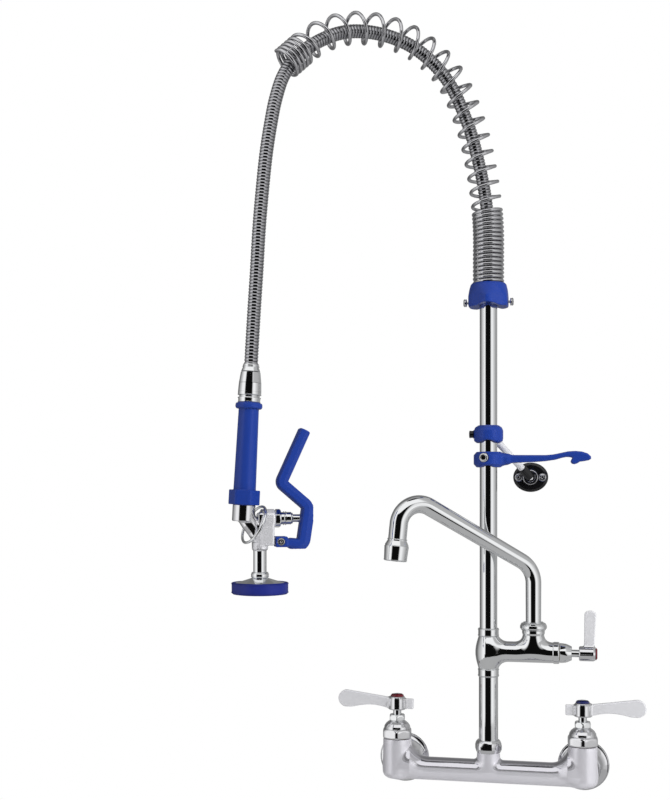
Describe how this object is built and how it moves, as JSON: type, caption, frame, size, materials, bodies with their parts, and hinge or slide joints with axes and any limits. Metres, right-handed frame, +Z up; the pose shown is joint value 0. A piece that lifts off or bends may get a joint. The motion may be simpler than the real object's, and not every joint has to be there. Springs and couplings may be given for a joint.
{
  "type": "wall-mounted pre-rinse faucet",
  "caption": "Wall-mounted commercial faucet with a lever-operated mixing body, riser, swing spout and an overhead spring that carries the hose of a squeeze spray valve.",
  "frame": {"origin": "on the wall's face, midway between the two inlets, at the height of the inlets' axes", "axes": "+Z up along the riser, +X to the right of someone facing the wall, +Y into the wall"},
  "size_m": [0.4175, 0.2317, 0.8415],
  "materials": {
    "chrome": "polished chrome plate",
    "satin_chrome": "satin chrome plate over cast brass",
    "lever_satin": "pale satin plate over a zinc casting",
    "brass": "bare machined brass",
    "steel": "bright stainless steel",
    "blue_plastic": "smooth royal blue moulding",
    "blue_rubber": "soft royal blue bumper",
    "black_plastic": "black moulding",
    "red_plastic": "dark red index"
  },
  "bodies": {
    "faucet": {"mixer_body": "satin_chrome", "left_wall_flange": "satin_chrome", "right_wall_flange": "satin_chrome", "hot_cartridge": "brass", "hot_bonnet_nut": "satin_chrome", "hot_packing_nut": "chrome", "cold_cartridge": "brass", "cold_bonnet_nut": "satin_chrome", "cold_packing_nut": "chrome", "riser_base_nut": "satin_chrome", "lower_riser": "chrome", "lower_coupling": "chrome", "upper_coupling": "chrome", "riser_pipe": "chrome", "add_on_body": "chrome", "spout_valve_cartridge": "brass", "spout_valve_bonnet": "chrome", "spout_nut": "chrome", "bracket_clamp": "blue_plastic", "bracket_clamp_screw": "black_plastic", "bracket_rod": "steel", "bracket_wall_flange": "black_plastic", "bracket_hub": "steel", "bracket_screw_left": "steel", "bracket_screw_right": "steel", "spring_collar": "blue_plastic", "left_thumb_screw": "steel", "right_thumb_screw": "steel", "hose_top_fitting": "chrome", "overhead_spring": "steel", "flexible_hose": "steel"},
    "hot_handle": {"hot_stem": "chrome", "hot_lever": "lever_satin", "hot_lever_screw": "steel", "hot_index_button": "red_plastic"},
    "cold_handle": {"cold_stem": "chrome", "cold_lever": "lever_satin", "cold_lever_screw": "steel", "cold_index_button": "blue_plastic"},
    "spout_valve_handle": {"spout_valve_stem": "chrome", "spout_valve_lever": "lever_satin", "spout_valve_index": "red_plastic"},
    "spout_arm": {"spout": "chrome", "aerator": "chrome"},
    "hook": {"finger_hook": "blue_plastic", "hook_set_screw": "chrome"},
    "hose_end": {"hose_ferrule": "chrome"},
    "spray": {"hand_grip": "blue_plastic", "spray_body": "chrome", "spray_packing_nut": "chrome", "plunger_spring": "steel", "lever_pivot_screw": "steel", "spray_neck": "chrome", "spray_face": "chrome", "spray_bumper": "blue_rubber"},
    "spray_lever": {"squeeze_lever": "blue_plastic"},
    "plunger": {"spray_plunger": "chrome"},
    "hold_ring": {"hold_down_ring": "chrome"}
  },
  "joints": [
    {"name": "hot_handle_turn", "type": "hinge", "parent": "faucet", "child": "hot_handle", "pos_m": [-0.1016, -0.052, 0.07], "axis": [0, 0, 1], "range_deg": [0, 90]},
    {"name": "cold_handle_turn", "type": "hinge", "parent": "faucet", "child": "cold_handle", "pos_m": [0.1016, -0.052, 0.07], "axis": [0, 0, -1], "range_deg": [0, 90]},
    {"name": "spout_valve_turn", "type": "hinge", "parent": "faucet", "child": "spout_valve_handle", "pos_m": [0.1, -0.052, 0.1315], "axis": [1, 0, 0], "range_deg": [0, 90]},
    {"name": "spout_swing", "type": "hinge", "parent": "faucet", "child": "spout_arm", "pos_m": [0.0489, -0.052, 0.2], "axis": [0, 0, 1], "range_deg": [-5, 160]},
    {"name": "hook_swivel", "type": "hinge", "parent": "faucet", "child": "hook", "pos_m": [0, -0.052, 0.342], "axis": [0, 0, 1], "range_deg": [-120, 15]},
    {"name": "hose_swing", "type": "hinge", "parent": "faucet", "child": "hose_end", "pos_m": [-0.196, -0.1842, 0.7475], "axis": [-0.829, -0.5592, 0], "range_deg": [-1, 25], "deforming": ["flexible_hose"]},
    {"name": "spray_swivel", "type": "hinge", "parent": "hose_end", "child": "spray", "pos_m": [-0.23288, -0.20908, 0.2944], "axis": [0.0474, 0.0201, 0.9987], "continuous": true},
    {"name": "spray_lever_squeeze", "type": "hinge", "parent": "spray", "child": "spray_lever", "pos_m": [-0.19863, -0.19454, 0.2561], "axis": [0.3907, -0.9205, 0], "range_deg": [0, 12], "stiffness_Nm_per_rad": 2, "springref_deg": -14.32},
    {"name": "plunger_slide", "type": "slide", "parent": "spray", "child": "plunger", "axis": [-0.9205, -0.3907, 0], "range_m": [0, 0.0058], "deforming": ["plunger_spring"]},
    {"name": "hold_ring_tilt", "type": "hinge", "parent": "spray", "child": "hold_ring", "pos_m": [-0.2234, -0.20506, 0.2734], "axis": [0.5549, 0, 0.8319], "range_deg": [0, 15]}
  ],
  "couplings": [
    {"joint": "plunger_slide", "follows": "spray_lever_squeeze", "m_per_rad": 0.0269}
  ]
}
